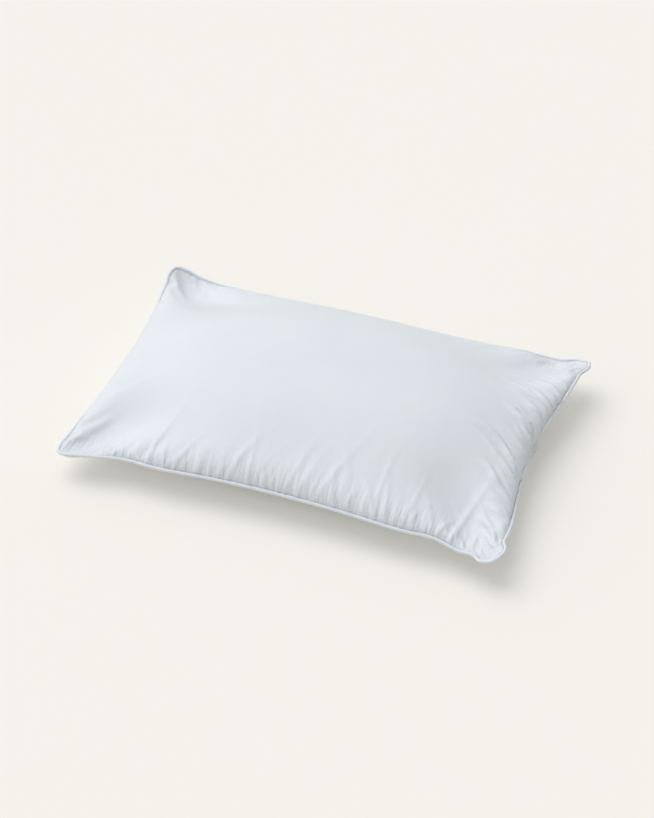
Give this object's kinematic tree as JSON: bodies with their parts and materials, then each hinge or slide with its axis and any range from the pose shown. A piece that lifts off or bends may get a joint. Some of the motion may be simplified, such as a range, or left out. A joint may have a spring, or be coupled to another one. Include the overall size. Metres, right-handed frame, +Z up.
{
  "type": "bed pillow",
  "caption": "White down-filled bed pillow with a smooth cotton ticking cover, a corded piping seam all round and four pointed corners.",
  "frame": {"origin": "on the resting surface, under the middle of the pillow", "axes": "+X along the long side, +Y along the short side towards the rear, +Z up"},
  "size_m": [0.739, 0.4974, 0.16],
  "materials": {
    "ticking": "down-proof cotton ticking, close plain weave with a slight sheen",
    "piping": "cotton bias tape, pale blue-white",
    "cord": "soft twisted cotton filler cord",
    "down": "loose white down and small feathers",
    "thread": "white spun polyester sewing thread",
    "label": "plain white satin ribbon, blank"
  },
  "bodies": {
    "root": {"upper_panel": "ticking", "lower_panel": "ticking", "down_fill": "down", "piping_cord": "cord", "piping_tape": "piping", "piping_needle_thread": "thread", "piping_bobbin_thread": "thread", "seam_needle_thread": "thread", "seam_bobbin_thread": "thread", "overlock_thread": "thread", "closing_needle_thread": "thread", "closing_bobbin_thread": "thread", "care_label": "label"}
  },
  "joints": []
}
